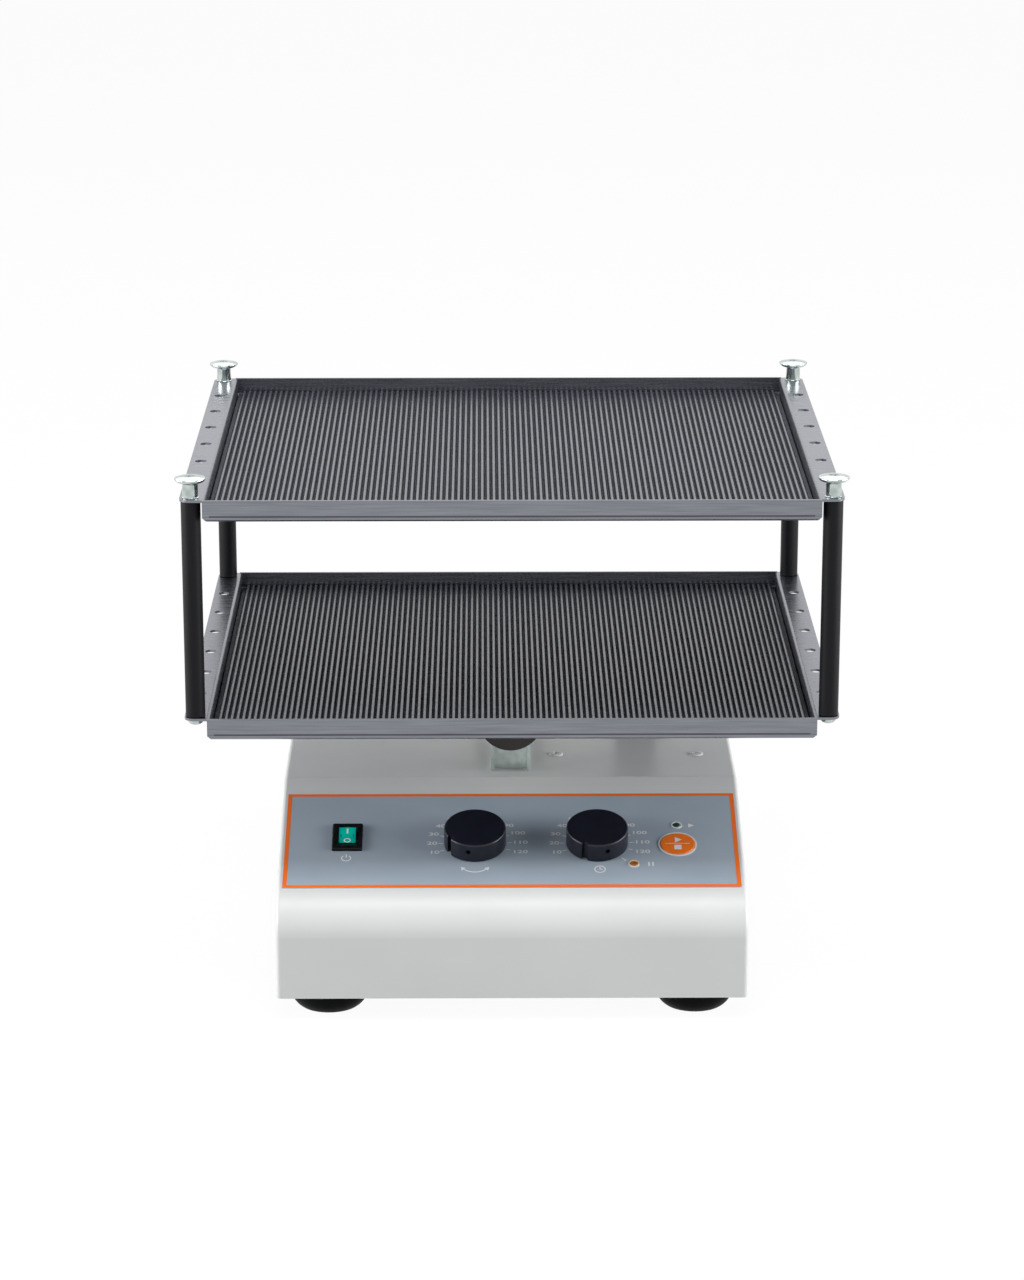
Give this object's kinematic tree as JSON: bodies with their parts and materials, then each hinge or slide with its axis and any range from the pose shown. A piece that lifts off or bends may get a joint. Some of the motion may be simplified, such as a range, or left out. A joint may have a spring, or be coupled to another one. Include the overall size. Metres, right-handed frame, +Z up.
{
  "type": "rocking platform shaker",
  "caption": "Bench rocking platform shaker: two stacked trays with ribbed mats on a central pivot, rocked by a crank in a low housing with a sloping dial panel.",
  "frame": {"origin": "on the bench, under the middle of the trays", "axes": "+X to the right seen from the control panel, +Y from the panel to the back, +Z up; the platform rocks about an axis along Y"},
  "size_m": [0.3882, 0.3222, 0.3345],
  "materials": {
    "housing_enamel": "satin powder coat",
    "tray_steel": "brushed stainless sheet",
    "mat_rubber": "ribbed black rubber",
    "post_black": "satin black",
    "zinc_plate": "bright zinc plate",
    "saddle_black": "satin black",
    "bush_bronze": "sintered bronze",
    "foot_rubber": "moulded rubber",
    "overlay_print": "printed polyester film",
    "knob_black": "moulded black",
    "switch_black": "moulded black",
    "rocker_green": "translucent green",
    "led_green": "tinted lens",
    "led_amber": "tinted lens",
    "print_white": "white",
    "button_orange": "moulded orange",
    "circuit_board": "solder mask",
    "pillar_brass": "nickel brass",
    "machine_steel": "machined",
    "gearbox_alloy": "die cast",
    "transformer_iron": "varnished laminations",
    "inlet_black": "moulded black"
  },
  "bodies": {
    "base": {"housing_shell": "housing_enamel", "base_plate": "housing_enamel", "rubber_feet": "foot_rubber", "foot_screws": "zinc_plate", "base_screws": "zinc_plate", "panel_overlay": "overlay_print", "switch_frame": "switch_black", "potentiometers": "machine_steel", "run_led": "led_green", "hold_led": "led_amber", "led_rings": "print_white", "start_button_ring": "print_white", "tact_switch": "switch_black", "control_board": "circuit_board", "board_pillars": "pillar_brass", "pivot_pedestal": "zinc_plate", "pedestal_screws": "zinc_plate", "pivot_bushes": "bush_bronze", "slot_grommet": "foot_rubber", "drive_bracket": "machine_steel", "top_screws": "housing_enamel", "gearbox": "gearbox_alloy", "drive_motor": "machine_steel", "gearbox_screws": "zinc_plate", "supply_board": "circuit_board", "transformer": "transformer_iron", "mains_inlet": "inlet_black", "inlet_pins": "pillar_brass", "inlet_screws": "zinc_plate"},
    "platform": {"lower_tray": "tray_steel", "upper_tray": "tray_steel", "lower_mat": "mat_rubber", "upper_mat": "mat_rubber", "post_front_left": "post_black", "post_front_right": "post_black", "post_rear_left": "post_black", "post_rear_right": "post_black", "post_screws": "zinc_plate", "platform_saddle": "saddle_black", "stud_nuts": "zinc_plate", "pivot_shaft": "machine_steel", "shaft_collars": "machine_steel", "drive_arm": "saddle_black", "yoke_plate": "machine_steel", "yoke_screws": "zinc_plate"},
    "crank": {"output_shaft": "machine_steel", "crank_disc": "machine_steel", "crank_pin": "machine_steel", "crank_roller": "machine_steel"},
    "speed_dial": {"speed_knob": "knob_black", "speed_shaft": "machine_steel"},
    "time_dial": {"time_knob": "knob_black", "time_shaft": "machine_steel"},
    "rocker": {"power_rocker": "rocker_green"},
    "button": {"start_button": "button_orange"},
    "drawer": {"fuse_drawer": "inlet_black"},
    "thumb_front_left": {"thumb_screw_front_left": "zinc_plate"},
    "thumb_front_right": {"thumb_screw_front_right": "zinc_plate"},
    "thumb_rear_left": {"thumb_screw_rear_left": "zinc_plate"},
    "thumb_rear_right": {"thumb_screw_rear_right": "zinc_plate"}
  },
  "joints": [
    {"name": "platform_rock", "type": "hinge", "parent": "base", "child": "platform", "pos_m": [0, 0, 0.146], "axis": [0, 1, 0], "range_deg": [-7, 7]},
    {"name": "crank_spin", "type": "hinge", "parent": "base", "child": "crank", "pos_m": [0.081, 0.053, 0.068], "axis": [0, 1, 0], "range_deg": [-70, 70]},
    {"name": "speed_knob_turn", "type": "hinge", "parent": "base", "child": "speed_dial", "pos_m": [-0.0221, -0.09709, 0.09016], "axis": [0, -0.3007, 0.9537], "range_deg": [-279, 31]},
    {"name": "time_knob_turn", "type": "hinge", "parent": "base", "child": "time_dial", "pos_m": [0.0518, -0.09709, 0.09016], "axis": [0, -0.3007, 0.9537], "range_deg": [-310, 0]},
    {"name": "power_rocker_tip", "type": "hinge", "parent": "base", "child": "rocker", "pos_m": [-0.0995, -0.09115, 0.08994], "axis": [1, 0, 0], "range_deg": [-14, 0]},
    {"name": "start_button_press", "type": "slide", "parent": "base", "child": "button", "axis": [0, 0.3007, -0.9537], "range_m": [0, 0.0008], "stiffness_N_per_m": 600, "springref_m": -0.0008},
    {"name": "fuse_drawer_slide", "type": "slide", "parent": "base", "child": "drawer", "axis": [0, 1, 0], "range_m": [0, 0.018]},
    {"name": "thumb_screw_front_left_turn", "type": "hinge", "parent": "platform", "child": "thumb_front_left", "pos_m": [-0.185, -0.152, 0.3215], "axis": [0, 0, 1], "continuous": true},
    {"name": "thumb_screw_front_right_turn", "type": "hinge", "parent": "platform", "child": "thumb_front_right", "pos_m": [0.185, -0.152, 0.3215], "axis": [0, 0, 1], "continuous": true},
    {"name": "thumb_screw_rear_left_turn", "type": "hinge", "parent": "platform", "child": "thumb_rear_left", "pos_m": [-0.185, 0.152, 0.3215], "axis": [0, 0, 1], "continuous": true},
    {"name": "thumb_screw_rear_right_turn", "type": "hinge", "parent": "platform", "child": "thumb_rear_right", "pos_m": [0.185, 0.152, 0.3215], "axis": [0, 0, 1], "continuous": true}
  ],
  "couplings": [
    {"joint": "crank_spin", "follows": "platform_rock", "ratio": 10}
  ]
}
